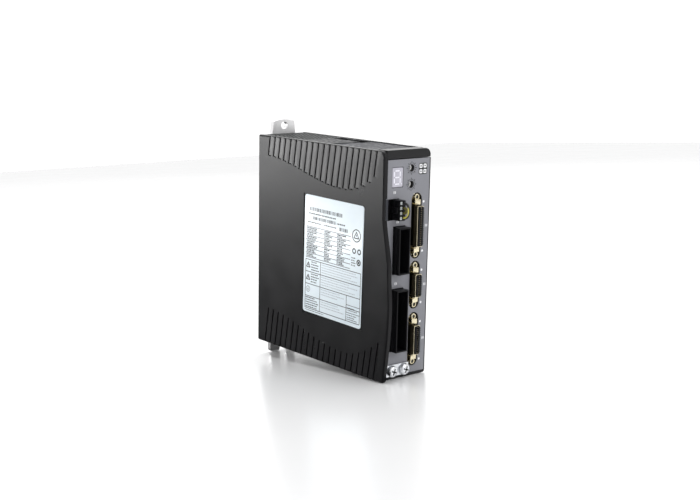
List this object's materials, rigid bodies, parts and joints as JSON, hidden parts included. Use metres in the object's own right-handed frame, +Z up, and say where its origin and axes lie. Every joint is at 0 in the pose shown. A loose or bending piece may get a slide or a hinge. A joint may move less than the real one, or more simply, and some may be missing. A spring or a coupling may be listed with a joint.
{
  "type": "servo drive",
  "caption": "Slim panel-mount servo drive: black louvred case, grey front panel with rotary switches, pluggable headers and shielded connectors, and a rear plate with mounting tabs.",
  "frame": {"origin": "middle of the rear mounting face, at half the case's width and height", "axes": "+Y out of the rear mounting face into the cabinet wall, so the front panel faces -Y; +Z up along the height; +X to the right seen from the front"},
  "size_m": [0.0376, 0.1343, 0.1546],
  "materials": {
    "cover_black": "finely grained moulded plastic, near black",
    "moulding_black": "smooth black moulding",
    "panel_grey": "satin grey film and smooth panel",
    "bare_aluminium": "bright milled plate",
    "label_film": "white printed label film",
    "display_lens": "milky display window",
    "dial_white": "white dial",
    "connector_gold": "pale gold plated steel",
    "bright_nickel": "nickel plated steel",
    "wire_yellow": "yellow wire insulation",
    "wire_olive": "dark yellow wire insulation",
    "board_green": "green circuit board",
    "capacitor_sleeve": "dark heat-shrunk sleeve",
    "relay_grey": "pale relay case",
    "winding_tape": "amber winding tape",
    "copper_enamel": "enamelled copper winding"
  },
  "bodies": {
    "root": {"board_connector": "moulding_black", "bottom_panel": "cover_black", "bridge_rectifier": "moulding_black", "bus_capacitor_front": "capacitor_sleeve", "bus_capacitor_middle": "capacitor_sleeve", "bus_capacitor_rear": "capacitor_sleeve", "control_board": "board_green", "display_module": "moulding_black", "display_window": "display_lens", "emi_choke": "copper_enamel", "front_bezel": "moulding_black", "front_network_jack": "moulding_black", "front_overlay": "panel_grey", "ground_plate": "bright_nickel", "ground_terminal_block": "bright_nickel", "heat_spreader": "bare_aluminium", "inrush_relay": "relay_grey", "interface_board": "board_green", "left_side_cover": "cover_black", "logic_array": "moulding_black", "lower_io_insulator": "moulding_black", "lower_io_shell": "connector_gold", "lower_jack_bracket": "connector_gold", "lower_switch_body": "moulding_black", "middle_io_insulator": "moulding_black", "middle_io_shell": "connector_gold", "middle_jack_bracket": "connector_gold", "motion_processor": "moulding_black", "motor_header": "moulding_black", "plate_screw_lower_left": "bright_nickel", "plate_screw_lower_right": "bright_nickel", "plate_screw_upper_left": "bright_nickel", "plate_screw_upper_right": "bright_nickel", "power_board": "board_green", "power_header": "moulding_black", "power_module": "moulding_black", "rating_label": "label_film", "rear_mounting_plate": "bare_aluminium", "rear_network_jack": "moulding_black", "right_side_cover": "cover_black", "standoff_lower_front": "bright_nickel", "standoff_lower_rear": "bright_nickel", "standoff_upper_front": "bright_nickel", "standoff_upper_rear": "bright_nickel", "sto_socket": "moulding_black", "supply_transformer": "winding_tape", "top_front_cap": "moulding_black", "top_panel": "panel_grey", "upper_io_insulator": "moulding_black", "upper_io_shell": "connector_gold", "upper_jack_bracket": "connector_gold", "upper_switch_body": "moulding_black"},
    "upper_dial": {"upper_address_dial": "dial_white"},
    "lower_dial": {"lower_address_dial": "dial_white"},
    "sto_plug": {"sto_plug": "moulding_black", "sto_jumper_outer": "wire_yellow", "sto_jumper_inner": "wire_olive"},
    "ground_screw_left": {"ground_screw_left": "bright_nickel"},
    "ground_screw_right": {"ground_screw_right": "bright_nickel"}
  },
  "joints": [
    {"name": "upper_dial_turn", "type": "hinge", "parent": "root", "child": "upper_dial", "pos_m": [0.00365, -0.1212, 0.0568], "axis": [0, -1, 0], "continuous": true},
    {"name": "lower_dial_turn", "type": "hinge", "parent": "root", "child": "lower_dial", "pos_m": [0.00355, -0.1212, 0.0473], "axis": [0, -1, 0], "continuous": true},
    {"name": "sto_plug_pull", "type": "slide", "parent": "root", "child": "sto_plug", "axis": [0, -1, 0], "range_m": [0, 0.012]},
    {"name": "ground_screw_left_turn", "type": "hinge", "parent": "root", "child": "ground_screw_left", "pos_m": [-0.00905, -0.1246, -0.0622], "axis": [0, -1, 0], "continuous": true},
    {"name": "ground_screw_right_turn", "type": "hinge", "parent": "root", "child": "ground_screw_right", "pos_m": [0.00045, -0.1246, -0.0622], "axis": [0, -1, 0], "continuous": true}
  ]
}
